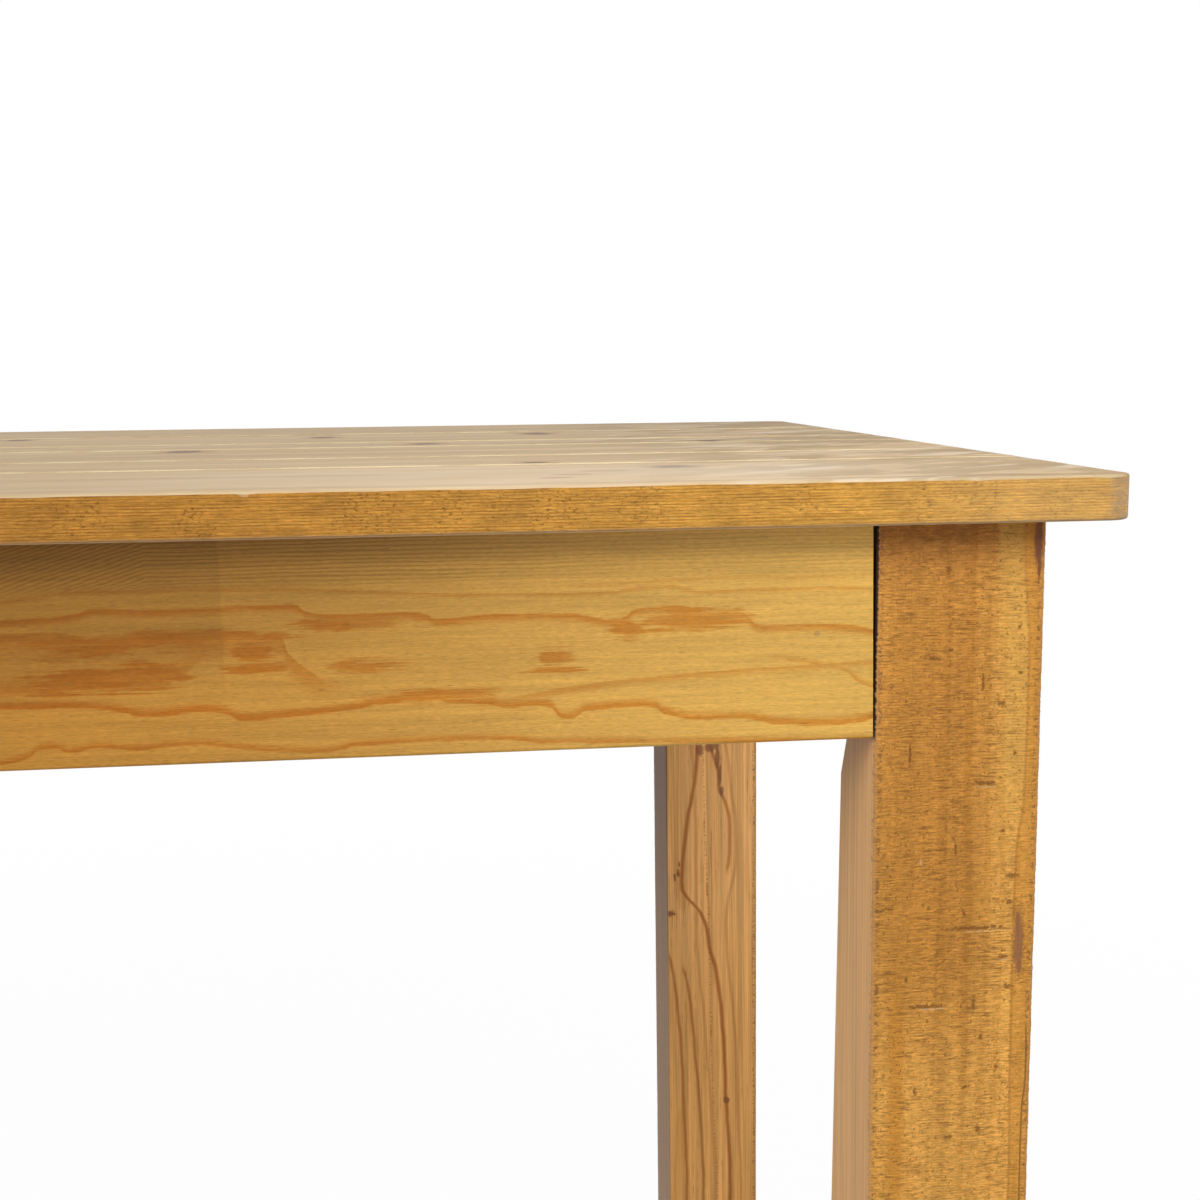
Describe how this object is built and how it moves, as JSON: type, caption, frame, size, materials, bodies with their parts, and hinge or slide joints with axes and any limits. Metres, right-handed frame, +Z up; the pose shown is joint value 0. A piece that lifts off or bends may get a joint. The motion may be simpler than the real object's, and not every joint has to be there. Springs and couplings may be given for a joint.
{
  "type": "farmhouse table",
  "caption": "Pine dining table with a plank top of mixed board widths, flush aprons and square post legs bolted into bracketed corners",
  "frame": {"origin": "floor level, under the middle of the top", "axes": "X along the table's length, Y from front to back with the pictured front at minus Y, Z up"},
  "size_m": [1.8, 0.8, 0.77],
  "materials": {
    "top_pine": "waxed pine planks, satin",
    "apron_pine": "planed and stained pine, satin",
    "leg_pine": "rough-sawn and stained pine, satin",
    "batten_pine": "bare planed pine",
    "button_beech": "bare beech",
    "dowel_beech": "fluted beech dowel, glued",
    "zinc_steel": "zinc-plated steel",
    "zinc_screw": "yellow zinc-plated steel",
    "glide_plastic": "brown moulded plastic"
  },
  "bodies": {
    "root": {"top_plank_1": "top_pine", "top_plank_2": "top_pine", "top_plank_3": "top_pine", "top_plank_4": "top_pine", "top_plank_5": "top_pine", "top_plank_6": "top_pine", "seam_dowels_1": "dowel_beech", "seam_dowels_2": "dowel_beech", "seam_dowels_3": "dowel_beech", "seam_dowels_4": "dowel_beech", "seam_dowels_5": "dowel_beech", "cross_batten_left": "batten_pine", "batten_screws_left": "zinc_screw", "cross_batten_centre": "batten_pine", "batten_screws_centre": "zinc_screw", "cross_batten_right": "batten_pine", "batten_screws_right": "zinc_screw", "long_apron_front": "apron_pine", "long_apron_rear": "apron_pine", "end_apron_right": "apron_pine", "end_apron_left": "apron_pine", "top_buttons_front": "button_beech", "top_buttons_rear": "button_beech", "top_buttons_left": "button_beech", "top_buttons_right": "button_beech", "button_screws": "zinc_screw", "leg_front_left": "leg_pine", "corner_bracket_front_left": "zinc_steel", "hanger_bolts_front_left": "zinc_steel", "bolt_washers_front_left": "zinc_steel", "bolt_nuts_front_left": "zinc_steel", "bracket_screws_front_left": "zinc_screw", "leg_front_right": "leg_pine", "corner_bracket_front_right": "zinc_steel", "hanger_bolts_front_right": "zinc_steel", "bolt_washers_front_right": "zinc_steel", "bolt_nuts_front_right": "zinc_steel", "bracket_screws_front_right": "zinc_screw", "leg_rear_right": "leg_pine", "corner_bracket_rear_right": "zinc_steel", "hanger_bolts_rear_right": "zinc_steel", "bolt_washers_rear_right": "zinc_steel", "bolt_nuts_rear_right": "zinc_steel", "bracket_screws_rear_right": "zinc_screw", "leg_rear_left": "leg_pine", "corner_bracket_rear_left": "zinc_steel", "hanger_bolts_rear_left": "zinc_steel", "bolt_washers_rear_left": "zinc_steel", "bolt_nuts_rear_left": "zinc_steel", "bracket_screws_rear_left": "zinc_screw", "foot_glides": "glide_plastic"}
  },
  "joints": []
}
